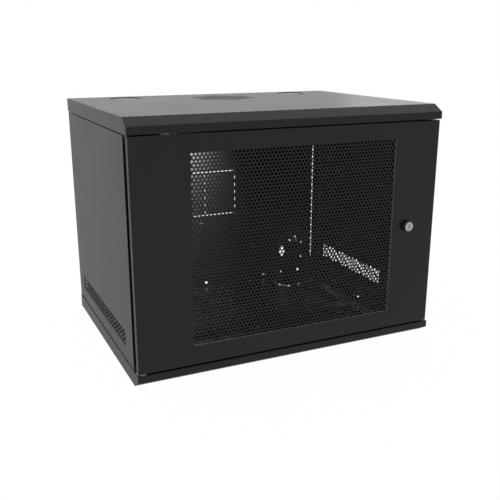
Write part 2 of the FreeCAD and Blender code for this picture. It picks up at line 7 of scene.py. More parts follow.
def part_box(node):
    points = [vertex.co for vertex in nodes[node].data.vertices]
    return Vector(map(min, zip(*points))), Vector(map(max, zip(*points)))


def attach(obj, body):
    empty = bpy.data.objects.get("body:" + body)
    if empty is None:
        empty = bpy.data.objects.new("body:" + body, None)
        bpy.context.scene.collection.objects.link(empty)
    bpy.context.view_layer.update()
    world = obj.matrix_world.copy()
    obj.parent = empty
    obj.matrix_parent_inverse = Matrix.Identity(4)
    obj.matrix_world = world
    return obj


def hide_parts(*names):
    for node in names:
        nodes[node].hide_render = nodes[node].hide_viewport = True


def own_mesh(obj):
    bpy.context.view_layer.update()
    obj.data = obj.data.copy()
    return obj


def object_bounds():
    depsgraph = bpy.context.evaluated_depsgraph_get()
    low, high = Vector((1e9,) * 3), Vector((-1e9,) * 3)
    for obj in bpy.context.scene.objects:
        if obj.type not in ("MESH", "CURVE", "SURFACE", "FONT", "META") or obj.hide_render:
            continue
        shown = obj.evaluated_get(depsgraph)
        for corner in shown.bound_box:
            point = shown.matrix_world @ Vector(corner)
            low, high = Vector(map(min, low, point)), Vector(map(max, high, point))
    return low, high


# Wall mount network cabinet: finishes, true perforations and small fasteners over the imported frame.
# Metres. +X to the right seen from the front, -Y to the front, +Z up.

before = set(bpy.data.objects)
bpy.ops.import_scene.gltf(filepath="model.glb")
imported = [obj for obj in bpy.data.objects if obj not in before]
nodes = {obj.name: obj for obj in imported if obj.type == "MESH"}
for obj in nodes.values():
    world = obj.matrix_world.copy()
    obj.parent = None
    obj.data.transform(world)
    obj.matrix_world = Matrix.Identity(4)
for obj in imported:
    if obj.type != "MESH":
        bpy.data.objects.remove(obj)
cad_low, cad_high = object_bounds()

X = Vector((1, 0, 0))
Y = Vector((0, 1, 0))
Z = Vector((0, 0, 1))

MM = 0.001
SHEET = 1.2 * MM
PANEL_SHEET = 1.0 * MM
RAIL_SHEET = 1.5 * MM
FIT_GAP = 0.05 * MM
TOLERANCE = MM / 10
WELD = MM / 1000
PUNCH_SIDES = 12


# ---- materials -----------------------------------------------------------------------------------
# size of the patterns in the finishes, in millimetres
CLOUD_MM = 111.1
STREAK_MM = 1.111
SKIN_MM = 1.429
# depth of their relief
GRAIN_DEPTH = 0.3 * MM
SKIN_DEPTH = 0.2 * MM
# how far a coat's roughness strays to either side
GLOSS_SPREAD = 0.03


def linear(colour):
    """An sRGB hex colour as linear RGBA."""
    values = []
    for i in (1, 3, 5):
        c = int(colour[i:i + 2], 16) / 255
        values.append(c / 12.92 if c <= 0.04045 else ((c + 0.055) / 1.055) ** 2.4)
    return (*values, 1.0)


def add_node(tree, kind, settings=None, links=None):
    """A shader node with its settings and links: inputs by name or number, links from (node, output)."""
    node = tree.nodes.new(kind)
    for key, value in (settings or {}).items():
        if isinstance(key, str) and hasattr(node, key):
            setattr(node, key, value)
        else:
            node.inputs[key].default_value = value
    for key, (source, output) in (links or {}).items():
        tree.links.new(source.outputs[output], node.inputs[key])
    return node


def new_material(name):
    """A material with an empty node tree."""
    material = bpy.data.materials.new(name)
    material.use_nodes = True
    material.node_tree.nodes.clear()
    return material


def finish_material(tree, shader):
    add_node(tree, "ShaderNodeOutputMaterial", links={"Surface": (shader, "BSDF")})


def grained_finish(name, colours, roughness, grain_mm, bump, level=0.5):
    """Powder coat, lacquer or the painted highlight on cut edges: a fine even grain breaks up its
    reflections.
    """
    material = new_material(name)
    tree = material.node_tree
    place = add_node(tree, "ShaderNodeTexCoord")
    # the real grain is about 0.3 mm, drawn coarser so that it shows
    grain = add_node(tree, "ShaderNodeTexNoise", {"Scale": 1000 / grain_mm, "Detail": 2.0, "Roughness": 0.6},
                     {"Vector": (place, "Object")})
    cloud = add_node(tree, "ShaderNodeTexNoise", {"Scale": 1000 / CLOUD_MM, "Detail": 2.0},
                     {"Vector": (place, "Object")})
    tone = add_node(tree, "ShaderNodeMix",
                    {"data_type": "RGBA", 6: linear(colours[0]), 7: linear(colours[1])},
                    {0: (grain, "Fac")})
    gloss = add_node(tree, "ShaderNodeMapRange",
                     {3: roughness - GLOSS_SPREAD, 4: roughness + GLOSS_SPREAD}, {0: (cloud, "Fac")})
    relief = add_node(tree, "ShaderNodeBump", {"Strength": bump, "Distance": GRAIN_DEPTH},
                      {"Height": (grain, "Fac")})
    shader = add_node(tree, "ShaderNodeBsdfPrincipled", {"IOR": 1.5, "Specular IOR Level": level},
                      {"Base Color": (tone, 2), "Roughness": (gloss, 0), "Normal": (relief, "Normal")})
    finish_material(tree, shader)
    return material


def streaked_metal(name, colours, roughness, scratch):
    """Plated or blackened metal, with slight streaks in its gloss."""
    material = new_material(name)
    tree = material.node_tree
    place = add_node(tree, "ShaderNodeTexCoord")
    streak = add_node(tree, "ShaderNodeTexNoise", {"Scale": 1000 / STREAK_MM, "Detail": 3.0},
                      {"Vector": (place, "Object")})
    tone = add_node(tree, "ShaderNodeMix",
                    {"data_type": "RGBA", 6: linear(colours[0]), 7: linear(colours[1])},
                    {0: (streak, "Fac")})
    gloss = add_node(tree, "ShaderNodeMapRange",
                     {3: roughness - scratch, 4: roughness + scratch}, {0: (streak, "Fac")})
    shader = add_node(tree, "ShaderNodeBsdfPrincipled", {"Metallic": 1.0},
                      {"Base Color": (tone, 2), "Roughness": (gloss, 0)})
    finish_material(tree, shader)
    return material


def moulded_nylon(name, colours):
    """Moulded nylon: dull, with a faint uneven skin."""
    material = new_material(name)
    tree = material.node_tree
    place = add_node(tree, "ShaderNodeTexCoord")
    skin = add_node(tree, "ShaderNodeTexNoise", {"Scale": 1000 / SKIN_MM, "Detail": 2.0},
                    {"Vector": (place, "Object")})
    tone = add_node(tree, "ShaderNodeMix",
                    {"data_type": "RGBA", 6: linear(colours[0]), 7: linear(colours[1])},
                    {0: (skin, "Fac")})
    relief = add_node(tree, "ShaderNodeBump", {"Strength": 0.2, "Distance": SKIN_DEPTH},
                      {"Height": (skin, "Fac")})
    shader = add_node(tree, "ShaderNodeBsdfPrincipled", {"Roughness": 0.55, "IOR": 1.53},
                      {"Base Color": (tone, 2), "Normal": (relief, "Normal")})
    finish_material(tree, shader)
    return material


# baked polyester powder coat on the shells: nearly black and satin, with an even grain
coat = grained_finish("black_powder_coat", ("#0f0f10", "#141415"), roughness=0.38, grain_mm=1.6, bump=0.2)
# the same coat on the inner frame: smoother, and drawn a touch darker with fainter reflections as painted
# shade for the dim inside
shaded_inner_coat = grained_finish("black_powder_coat_inside_painted_shade", ("#0e0e0f", "#121213"), roughness=0.24, grain_mm=1.6,
                            bump=0.1, level=0.12)
# the window's cut edges: a pale line round the window, a painted highlight where light catches them, drawn
# matt rather than as metal
edge_highlight_paint = grained_finish("window_edge_painted_highlight", ("#e4e4e6", "#f0f0f1"), roughness=0.4, grain_mm=1.6,
                          bump=0.1)
# lacquer on a die casting: dark grey and dull
die_cast_black = grained_finish("black_lacquered_die_casting", ("#2e2e2f", "#363637"), roughness=0.45,
                                grain_mm=2.0, bump=0.1)
# zinc plate on steel: grey metal with a soft shine
zinc = streaked_metal("zinc_plated_steel", ("#a8abae", "#c2c4c6"), roughness=0.32, scratch=0.06)
# satin nickel plate: light metal, evenly soft in its shine
nickel = streaked_metal("satin_nickel_plate", ("#c6c6c4", "#d8d8d6"), roughness=0.3, scratch=0.05)
# black oxide on spring steel: dark metal with a dull shine
spring_steel = streaked_metal("black_oxide_spring_steel", ("#2c2c2e", "#38383a"), roughness=0.42,
                              scratch=0.08)
# nylon without pigment: milky white and dull
nylon = moulded_nylon("natural_moulded_nylon", ("#dededc", "#e8e8e6"))

OUTER = (
    "base_tray", "top_cover", "left_side_panel", "right_side_panel", "rear_panel", "door_skin",
    "door_mesh_panel",
)
INNER = (
    "front_left_post", "front_right_post", "rear_left_post", "rear_right_post", "floor_cross_member",
    "base_left_cable_cover", "base_right_cable_cover", "top_left_cable_cover", "top_right_cable_cover",
    "lower_left_rail_channel", "lower_right_rail_channel", "upper_left_rail_channel",
    "upper_right_rail_channel", "left_rack_rail", "right_rack_rail", "hinge_pin_bracket", "lock_keeper",
)
PLATED = ("lower_hinge_pin", "lock_cam", "cam_screw", "earth_stud")


def paint(obj, material):
    obj.data.materials.clear()
    obj.data.materials.append(material)


for name in OUTER:
    paint(nodes[name], coat)
# the inner frame takes the coat drawn darker, as painted shade
for name in INNER:
    paint(nodes[name], shaded_inner_coat)
for name in PLATED:
    paint(nodes[name], zinc)
paint(nodes["upper_hinge_pin"], spring_steel)
paint(nodes["hinge_spring"], spring_steel)
paint(nodes["lower_hinge_washer"], nylon)
paint(nodes["lock_housing"], die_cast_black)
paint(nodes["lock_plug"], nickel)


# ---- mesh helpers --------------------------------------------------------------------------------
def new_piece(name, shape, material):
    """An object at the origin from a bmesh, which is freed."""
    mesh = bpy.data.meshes.new(name)
    shape.to_mesh(mesh)
    shape.free()
    obj = bpy.data.objects.new(name, mesh)
    bpy.context.scene.collection.objects.link(obj)
    paint(obj, material)
    return obj


def add_box(shape, corner, opposite):
    """A block between two opposite corners, in either order."""
    low = Vector([min(pair) for pair in zip(corner, opposite)])
    high = Vector([max(pair) for pair in zip(corner, opposite)])
    matrix = Matrix.Translation((low + high) / 2) @ Matrix.Diagonal((*(high - low), 1.0))
    bmesh.ops.create_cube(shape, size=1.0, matrix=matrix)


def facing(place, direction):
    """A matrix at a place whose local Z points along a direction."""
    return Matrix.Translation(place) @ direction.to_track_quat("Z", "Y").to_matrix().to_4x4()


def add_round(shape, place, direction, diameter, length, sides):
    """A round bar that starts at a place and runs along a direction."""
    matrix = facing(place, direction) @ Matrix.Translation((0, 0, length / 2))
    bmesh.ops.create_cone(shape, cap_ends=True, segments=sides, radius1=diameter / 2, radius2=diameter / 2,
                          depth=length, matrix=matrix)


def turned(name, profile, place, direction, material, sides):
    """A lathe part: (radius, height) points, spun about a direction from a place."""
    shape = bmesh.new()
    points = [shape.verts.new((radius, 0, height)) for radius, height in profile]
    lines = [shape.edges.new(pair) for pair in zip(points, points[1:])]
    bmesh.ops.spin(shape, geom=points + lines, cent=(0, 0, 0), axis=Z, angle=math.tau, steps=sides,
                   use_merge=True, use_duplicate=False)
    bmesh.ops.remove_doubles(shape, verts=shape.verts, dist=WELD)
    bmesh.ops.recalc_face_normals(shape, faces=shape.faces)
    bmesh.ops.transform(shape, matrix=facing(place, direction), verts=shape.verts)
    return new_piece(name, shape, material)


def close_ends(shape):
    """Caps the open ends of a swept tube and turns its faces outwards."""
    bmesh.ops.holes_fill(shape, edges=[edge for edge in shape.edges if edge.is_boundary], sides=0)
    bmesh.ops.recalc_face_normals(shape, faces=shape.faces)


def set_out(name, pattern, places, direction):
    """Zinc-plated copies of a small part made about the origin, one at each place, as one piece."""
    shape = bmesh.new()
    for place in places:
        start = len(shape.verts)
        shape.from_mesh(pattern.data)
        shape.verts.ensure_lookup_table()
        bmesh.ops.transform(shape, matrix=facing(place, direction), verts=shape.verts[start:])
    bpy.data.objects.remove(pattern)
    return new_piece(name, shape, zinc)


def screw_head(diameter):
    """Pan head with a cross recess, standing on the origin."""
    r = diameter / 2
    tall = 0.34 * diameter
    rim = 0.35 * tall
    profile = [(0, 0), (r, 0), (r, rim), (0.82 * r, 0.75 * tall), (0.45 * r, 0.97 * tall), (0, tall)]
    head = turned("screw_head", profile, Vector(), Z, zinc, sides=20)
    thin = 0.055 * diameter
    reach = 0.3 * diameter
    for x, y in ((reach, thin), (thin, reach)):
        shape = bmesh.new()
        add_box(shape, (-x, -y, rim), (x, y, 2 * tall))
        combine(head, new_piece("recess", shape, zinc), "DIFFERENCE")
    return head


def hex_nut(flats, tall, bore):
    """Nut with its bore, standing on the origin."""
    shape = bmesh.new()
    corner = flats / math.cos(math.radians(30))
    add_round(shape, Vector(), Z, corner, tall, sides=6)
    nut = new_piece("nut", shape, zinc)
    shape = bmesh.new()
    add_round(shape, Vector((0, 0, -tall)), Z, bore, 3 * tall, sides=20)
    return combine(nut, new_piece("bore", shape, zinc), "DIFFERENCE")


def apply_modifiers(obj):
    graph = bpy.context.evaluated_depsgraph_get()
    mesh = bpy.data.meshes.new_from_object(obj.evaluated_get(graph))
    obj.modifiers.clear()
    obj.data = mesh


def combine(obj, tool, operation):
    """Cuts a closed tool out of an object, or joins it on, and removes the tool."""
    modifier = obj.modifiers.new(operation.lower(), "BOOLEAN")
    modifier.operation = operation
    modifier.solver = "MANIFOLD"
    modifier.object = tool
    bpy.context.view_layer.update()
    apply_modifiers(obj)
    bpy.data.objects.remove(tool)
    return obj


def merged_copy(node, name):
    """A copy of a CAD node's mesh with its doubles merged, to be finished as a piece."""
    shape = bmesh.new()
    shape.from_mesh(nodes[node].data)
    bmesh.ops.remove_doubles(shape, verts=shape.verts, dist=WELD)
    return new_piece(name, shape, nodes[node].data.materials[0])


def punched(obj, first, normal, diameter, depth, *rows):
    """Round holes through a piece: the first one repeated along each (step, count) in turn."""
    shape = bmesh.new()
    add_round(shape, first - normal * depth / 2, normal, diameter, depth, PUNCH_SIDES)
    tool = new_piece("punch", shape, coat)
    for step, count in rows:
        array = tool.modifiers.new("row", "ARRAY")
        array.use_relative_offset = False
        array.use_constant_offset = True
        array.constant_offset_displace = step
        array.count = count
    combine(obj, tool, "DIFFERENCE")


def plug_over(obj, corner, opposite):
    """Fills a region of a sheet with plain sheet."""
    shape = bmesh.new()
    add_box(shape, corner, opposite)
    combine(obj, new_piece("plug", shape, coat), "UNION")


def finish(piece, body, *replaced):
    """Puts a piece on its body, standing for CAD nodes where named."""
    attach(piece, body)
    if replaced:
        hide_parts(*replaced)


# ---- door: 5 mm holes on a 7 mm staggered pitch, behind a plain window ---------------------------
HOLE = 5 * MM
PITCH = 7 * MM
ROW = PITCH * math.cos(math.radians(30))
MESH_COLUMNS = 57
MESH_ROWS = 55
WINDOW_LEFT = 100.3 * MM
WINDOW_RIGHT = 96.3 * MM
WINDOW_TOP = 30.7 * MM
WINDOW_BOTTOM = 35.7 * MM
SQUARE_ON = 0.99


def door_mesh():
    """Perforated sheet behind the door's window, its holes centred on the window."""
    low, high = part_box("door_mesh_panel")
    skin_low, skin_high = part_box("door_skin")
    shape = bmesh.new()
    add_box(shape, low, high)
    plate = new_piece("door_perforated_sheet", shape, coat)
    centre = Vector((
        (skin_low.x + WINDOW_LEFT + skin_high.x - WINDOW_RIGHT) / 2,
        (low.y + high.y) / 2,
        (skin_low.z + WINDOW_BOTTOM + skin_high.z - WINDOW_TOP) / 2,
    ))
    first = centre - X * (MESH_COLUMNS - 1) / 2 * PITCH - Z * (MESH_ROWS - 1) / 2 * ROW
    between = first + X * PITCH / 2 + Z * ROW
    depth = 4 * (high.y - low.y)
    punched(plate, first, Y, HOLE, depth, (X * PITCH, MESH_COLUMNS), (Z * 2 * ROW, (MESH_ROWS + 1) // 2))
    punched(plate, between, Y, HOLE, depth, (X * PITCH, MESH_COLUMNS - 1), (Z * 2 * ROW, MESH_ROWS // 2))
    finish(plate, "door", "door_mesh_panel")


def door_with_painted_edge_highlights():
    """The folded door, with its window's cut edges painted near white: a painted highlight where light
    catches them.
    """
    skin = merged_copy("door_skin", "door_skin_cut")
    # its cut edges take the near-white paint that stands for their highlight
    skin.data.materials.append(edge_highlight_paint)
    low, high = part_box("door_skin")
    sides = {
        0: (low.x + WINDOW_LEFT, high.x - WINDOW_RIGHT),
        2: (low.z + WINDOW_BOTTOM, high.z - WINDOW_TOP),
    }
    for face in skin.data.polygons:
        for axis, places in sides.items():
            near = min(abs(face.center[axis] - place) for place in places) < TOLERANCE
            if near and abs(face.normal[axis]) > SQUARE_ON:
                face.material_index = 1
    finish(skin, "door", "door_skin")


# ---- rear panel ----------------------------------------------------------------------------------
KNOCKOUT_WIDE = 150.5 * MM
KNOCKOUT_TALL = 101.5 * MM
KNOCKOUT_CUT = 1.9 * MM
KNOCKOUT_CENTRE_CUT = 1.3 * MM
KNOCKOUT_BRIDGE = 2.5 * MM
KNOCKOUT_CENTRE_BRIDGE = 16.0 * MM
REAR_STRIP = 14.3 * MM
REAR_EASE = 1.3 * MM
REAR_TAB = 25.5 * MM
REAR_LAP_TALL = 13.0 * MM
SMALL_HOLE = 5.5 * MM
SMALL_HOLE_PLACE = (-10.8 * MM, 158.0 * MM)
EARTH_BLANK = 23.0 * MM
EARTH_BLANK_PLACE = (230.0 * MM, 100.5 * MM)
EARTH_CUT = 2.6 * MM
EARTH_ARC_START = math.radians(10)
EARTH_ARC = math.radians(140)
EARTH_ARC_STEPS = 20
EARTH_CUTTER = 4.0 * MM


def rear_cuts():
    """Closed cutters for the laser cuts round the two blanks, the eased side edges and the small hole."""
    low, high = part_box("rear_panel")
    back = high.y + SHEET
    front = high.y - 4 * SHEET
    middle = (low.z + high.z) / 2
    cut = KNOCKOUT_CUT / 2
    centre_cut = KNOCKOUT_CENTRE_CUT / 2
    wide = KNOCKOUT_WIDE / 2
    tall = KNOCKOUT_TALL / 2
    bottom = middle - tall + KNOCKOUT_BRIDGE
    top = middle + tall - KNOCKOUT_BRIDGE
    centre_top = middle + tall - KNOCKOUT_CENTRE_BRIDGE
    edge = cad_high.x - REAR_STRIP
    shape = bmesh.new()
    for side in (-1, 1):
        for z in (middle - tall, middle + tall):
            add_box(shape, (side * KNOCKOUT_BRIDGE, front, z - cut),
                    (side * (wide - KNOCKOUT_BRIDGE), back, z + cut))
        add_box(shape, (side * wide - cut, front, bottom), (side * wide + cut, back, top))
        add_box(shape, (side * (edge - REAR_EASE), high.y - 1.5 * SHEET, low.z + REAR_TAB),
                (side * (edge + REAR_EASE), back, high.z - REAR_TAB))
    add_box(shape, (-centre_cut, front, bottom), (centre_cut, back, centre_top))
    x, z = SMALL_HOLE_PLACE
    add_round(shape, Vector((x, front, z)), Y, SMALL_HOLE, back - front, PUNCH_SIDES)
    return shape


def earth_ring_cut():
    """Closed cutter for the arc cut under the earthing point's round blank."""
    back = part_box("rear_panel")[1].y + EARTH_CUTTER / 2
    front = back - EARTH_CUTTER
    inner = (EARTH_BLANK - EARTH_CUT) / 2
    outer = (EARTH_BLANK + EARTH_CUT) / 2
    shape = bmesh.new()
    outline = ((inner, back), (outer, back), (outer, front), (inner, front))
    corners = [shape.verts.new((radius, y, 0)) for radius, y in outline]
    lines = [shape.edges.new((corners[i - 1], corners[i])) for i in range(4)]
    bmesh.ops.spin(shape, geom=corners + lines, cent=(0, 0, 0), axis=Y, angle=EARTH_ARC,
                   steps=EARTH_ARC_STEPS)
    close_ends(shape)
    x, z = EARTH_BLANK_PLACE
    turn = Matrix.Translation((x, 0, z)) @ Matrix.Rotation(-EARTH_ARC_START, 4, "Y")
    bmesh.ops.transform(shape, matrix=turn, verts=shape.verts)
    return shape


def rear_with_knockouts():
    """Rear panel with its laser cuts, and laps that close the corners behind the lips."""
    low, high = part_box("rear_panel")
    panel = merged_copy("rear_panel", "rear_panel_cut")
    front = low.y + FIT_GAP
    back = low.y + SHEET - FIT_GAP
    for side in (-1, 1):
        for tip, step in ((low.z, 1), (high.z, -1)):
            shape = bmesh.new()
            add_box(shape, (side * (cad_high.x - REAR_STRIP - SHEET), front, tip),
                    (side * high.x, back, tip + step * REAR_LAP_TALL))
            combine(panel, new_piece("lap", shape, coat), "UNION")
    combine(panel, new_piece("laser_cuts", rear_cuts(), coat), "DIFFERENCE")
    combine(panel, new_piece("earth_cut", earth_ring_cut(), coat), "DIFFERENCE")
    finish(panel, "cabinet", "rear_panel")


# ---- side vents: 7.2 mm holes in columns of three and four ---------------------------------------
VENT_HOLE = 7.2 * MM
VENT_PITCH = 8.45 * MM
VENT_COLUMN = VENT_PITCH * math.cos(math.radians(30))
VENT_COLUMNS = 46
VENT_FROM_FRONT = 49.8 * MM
VENT_MIDDLE = 67.8 * MM
VENT_PLUG_PAST = 8.0 * MM
VENT_PLUG_HALF = 20.0 * MM


def vented_side(node, side):
    """Side panel with its true vent field. side is -1 on the left and 1 on the right."""
    low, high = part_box(node)
    outer = low.x if side < 0 else high.x
    inner = outer - side * PANEL_SHEET
    panel = merged_copy(node, node + "_vented")
    front = low.y + VENT_FROM_FRONT
    back = front + (VENT_COLUMNS - 1) * VENT_COLUMN
    plug_over(panel, (inner, front - VENT_PLUG_PAST, VENT_MIDDLE - VENT_PLUG_HALF),
              (outer, back + VENT_PLUG_PAST, VENT_MIDDLE + VENT_PLUG_HALF))
    centre = Vector((outer - side * PANEL_SHEET / 2, front, VENT_MIDDLE))
    for offset, count in ((0, 3), (VENT_COLUMN, 4)):
        first = centre + Y * offset - Z * (count - 1) / 2 * VENT_PITCH
        punched(panel, first, X, VENT_HOLE, 6 * PANEL_SHEET,
                (Z * VENT_PITCH, count), (Y * 2 * VENT_COLUMN, VENT_COLUMNS // 2))
    finish(panel, "cabinet", node)


# ---- fan vent in the cover -----------------------------------------------------------------------
FAN_FLATS = 121.0 * MM
FAN_FROM_FRONT = 332.0 * MM
FAN_PLUG_PAST = 6.0 * MM
FAN_PLUG_STRETCH = 1.1


def inside_hexagon(u, v, limit):
    """True within a hexagon whose flats are at a limit from its centre."""
    angles = [math.radians(degrees) for degrees in (0, 60, 120)]
    return all(abs(u * math.cos(angle) + v * math.sin(angle)) <= limit for angle in angles)


def cover_with_fan_vent():
    """Top cover with its true fan vent, punched column by column."""
    low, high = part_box("top_cover")
    cover = merged_copy("top_cover", "top_cover_with_fan_vent")
    centre = Vector((0, low.y + FAN_FROM_FRONT, high.z - SHEET / 2))
    reach = FAN_FLATS / 2 + FAN_PLUG_PAST
    along = reach * FAN_PLUG_STRETCH
    plug_over(cover, (-reach, centre.y - along, high.z - SHEET), (reach, centre.y + along, high.z))
    count = int(FAN_FLATS / PITCH)
    limit = FAN_FLATS / 2 - HOLE / 2
    for column in range(-count, count + 1):
        u = column * ROW
        rows = [(row + (column % 2) / 2) * PITCH for row in range(-count, count + 1)]
        rows = [v for v in rows if inside_hexagon(u, v, limit)]
        if rows:
            punched(cover, centre + X * u + Y * rows[0], Z, HOLE, 6 * SHEET, (Y * PITCH, len(rows)))
    finish(cover, "cabinet", "top_cover")


# ---- round parts ---------------------------------------------------------------------------------
ENTRY_IN = 192.0 * MM
COVER_EAR = 14.0 * MM
EAR_ROOT = 10.0 * MM
PLATE_EASE = 2.2 * MM
PLATE_EDGE = 0.2 * MM
WASHER_BORE = 6.1 * MM
WASHER_EDGE = 0.3 * MM
SPRING_WIRE = 1.1 * MM
SPRING_TURNS = 9
TURN_STEPS = 20
LOCK_BORE = 17.6 * MM
LOCK_BARREL = 19.8 * MM
LOCK_ROLL = 1.2 * MM
LOCK_ROLL_STEPS = 5
LOCK_BORE_EDGE = 0.4 * MM
LOCK_NUT = 24.0 * MM
LOCK_NUT_TALL = 4.0 * MM


def cable_cover(node, side, up):
    """Round plate over a cable entry, with an ear at each end. up is 1 at the base and -1 at the top."""
    low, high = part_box(node)
    left = side * ENTRY_IN - COVER_EAR / 2
    right = side * ENTRY_IN + COVER_EAR / 2
    middle = (low.y + high.y) / 2
    radius = (high.x - low.x) / 2 - PLATE_EASE
    top = high.z if up > 0 else low.z
    foot = low.z if up > 0 else high.z
    back = top - up * SHEET
    edge = radius - PLATE_EDGE
    profile = [(0, 0), (radius, 0), (radius, SHEET - PLATE_EDGE), (edge, SHEET), (0, SHEET)]
    place = Vector((side * ENTRY_IN, middle, back))
    # the plate takes the inner coat, drawn darker as painted shade
    plate = turned(node + "_plate", profile, place, Z * up, shaded_inner_coat, sides=64)
    for end in (-1, 1):
        tip = high.y if end > 0 else low.y
        shape = bmesh.new()
        add_box(shape, (left, tip, top), (right, tip - end * EAR_ROOT, back))
        if abs(foot - back) > TOLERANCE:
            add_box(shape, (left, tip, foot), (right, middle + end * radius, back))
            bmesh.ops.remove_doubles(shape, verts=shape.verts, dist=WELD)
        combine(plate, new_piece("ear", shape, shaded_inner_coat), "UNION")
    finish(plate, "cabinet", node)


def hinge_washer():
    """Thick washer under the door's corner."""
    low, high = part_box("lower_hinge_washer")
    centre = (low + high) / 2
    radius = (high.x - low.x) / 2
    tall = high.z - low.z
    bore = WASHER_BORE / 2
    edge = radius - WASHER_EDGE
    profile = [(bore, 0), (radius, 0), (radius, tall - WASHER_EDGE), (edge, tall), (bore, tall), (bore, 0)]
    seat = Vector((centre.x, centre.y, low.z))
    washer = turned("hinge_washer_round", profile, seat, Z, nylon, sides=48)
    finish(washer, "cabinet", "lower_hinge_washer")


def coil_spring():
    """Compression spring round the sprung hinge pin."""
    low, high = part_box("hinge_spring")
    radius = (high.x - low.x) / 2 - SPRING_WIRE / 2
    centre = (low + high) / 2
    steps = SPRING_TURNS * TURN_STEPS
    rise = (high.z - low.z - SPRING_WIRE) / steps
    shape = bmesh.new()
    ring = bmesh.ops.create_circle(shape, segments=8, radius=SPRING_WIRE / 2, cap_ends=False)["verts"]
    upright = Matrix.Translation((radius, 0, 0)) @ Matrix.Rotation(math.pi / 2, 4, "X")
    bmesh.ops.transform(shape, matrix=upright, verts=ring)
    bmesh.ops.spin(shape, geom=ring + list(shape.edges), cent=(0, 0, 0), axis=Z, dvec=(0, 0, rise),
                   angle=math.tau * SPRING_TURNS, steps=steps)
    close_ends(shape)
    bmesh.ops.translate(shape, vec=(centre.x, centre.y, low.z + SPRING_WIRE / 2), verts=shape.verts)
    spring = new_piece("hinge_coil_spring", shape, spring_steel)
    finish(spring, "hinge_pin", "hinge_spring")
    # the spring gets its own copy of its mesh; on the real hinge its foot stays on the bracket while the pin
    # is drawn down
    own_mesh(spring)


def lock_body():
    """Round lock body: bezel with a rolled edge, barrel behind the door's face, and its six-sided nut."""
    low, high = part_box("lock_housing")
    centre = (low + high) / 2
    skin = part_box("door_skin")[0].y
    bezel = (high.x - low.x) / 2
    bore = LOCK_BORE / 2
    barrel = LOCK_BARREL / 2
    tall = skin - low.y
    whole = high.y - low.y
    flat = bezel - LOCK_ROLL
    profile = [(bore, whole), (bore, LOCK_BORE_EDGE), (bore + LOCK_BORE_EDGE, 0), (flat, 0)]
    for i in range(1, LOCK_ROLL_STEPS + 1):
        angle = math.radians(90) * i / LOCK_ROLL_STEPS
        profile.append((flat + LOCK_ROLL * math.sin(angle), LOCK_ROLL - LOCK_ROLL * math.cos(angle)))
    profile += [(bezel, tall), (barrel, tall), (barrel, whole), (bore, whole)]
    face = Vector((centre.x, low.y, centre.z))
    body = turned("lock_housing_round", profile, face, Y, die_cast_black, sides=64)
    finish(body, "door", "lock_housing")
    seat = Vector((centre.x, skin + SHEET + FIT_GAP, centre.z))
    finish(set_out("lock_nut", hex_nut(LOCK_NUT, LOCK_NUT_TALL, LOCK_BARREL), [seat], Y), "door")


# ---- small fasteners -----------------------------------------------------------------------------
CLAMP_HEAD = 11.0 * MM
CLAMP_FROM_MIDDLE = 235.75 * MM
CLAMP_FROM_FRONT = 12.5 * MM
MEMBER_HEAD = 8.0 * MM
MEMBER_SCREW_FROM_END = 25.0 * MM
MEMBER_SCREW_FROM_EDGE = 6.0 * MM
COVER_HEAD = 6.5 * MM
COVER_SCREW_FROM_TIP = 4.2 * MM
EARTH_WASHER = 14.0 * MM
EARTH_WASHER_TALL = 1.2 * MM
EARTH_NUT = 10.0 * MM
EARTH_NUT_TALL = 5.0 * MM


def rail_screws():
    """Clamp screws that hold each rail's feet to the slotted channels."""
    for side, body in ((-1, "left_rail"), (1, "right_rail")):
        low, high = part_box(body.replace("rail", "rack_rail"))
        across = side * CLAMP_FROM_MIDDLE
        along = low.y + CLAMP_FROM_FRONT
        for end, height, up in (("lower", low.z + RAIL_SHEET, 1), ("upper", high.z - RAIL_SHEET, -1)):
            name = f"{body}_{end}_clamp_screw"
            place = Vector((across, along, height))
            finish(set_out(name, screw_head(CLAMP_HEAD), [place], Z * up), body)


def floor_screws():
    """Screws through the cross member's feet."""
    low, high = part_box("floor_cross_member")
    places = []
    for x in (low.x + MEMBER_SCREW_FROM_END, 0, high.x - MEMBER_SCREW_FROM_END):
        for y in (low.y + MEMBER_SCREW_FROM_EDGE, high.y - MEMBER_SCREW_FROM_EDGE):
            places.append(Vector((x, y, low.z + SHEET)))
    finish(set_out("cross_member_screws", screw_head(MEMBER_HEAD), places, Z), "cabinet")


def cable_cover_screws():
    """One screw through each ear of the cable covers."""
    for up, level in ((1, "base"), (-1, "top")):
        places = []
        for hand in ("left", "right"):
            low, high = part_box(f"{level}_{hand}_cable_cover")
            face = high.z if up > 0 else low.z
            middle = (low.x + high.x) / 2
            for y in (low.y + COVER_SCREW_FROM_TIP, high.y - COVER_SCREW_FROM_TIP):
                places.append(Vector((middle, y, face)))
        finish(set_out(level + "_cable_cover_screws", screw_head(COVER_HEAD), places, Z * up), "cabinet")


def earth_fasteners():
    """Washer and nut on the earthing stud."""
    low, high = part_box("earth_stud")
    centre = (low + high) / 2
    bore = high.x - low.x + 2 * FIT_GAP
    profile = [(bore / 2, 0), (EARTH_WASHER / 2, 0), (EARTH_WASHER / 2, EARTH_WASHER_TALL),
               (bore / 2, EARTH_WASHER_TALL), (bore / 2, 0)]
    seat = Vector((centre.x, high.y - FIT_GAP, centre.z))
    finish(turned("earth_washer", profile, seat, -Y, zinc, sides=32), "cabinet")
    nut_seat = seat - Y * (EARTH_WASHER_TALL + FIT_GAP)
    finish(set_out("earth_nut", hex_nut(EARTH_NUT, EARTH_NUT_TALL, bore), [nut_seat], -Y), "cabinet")


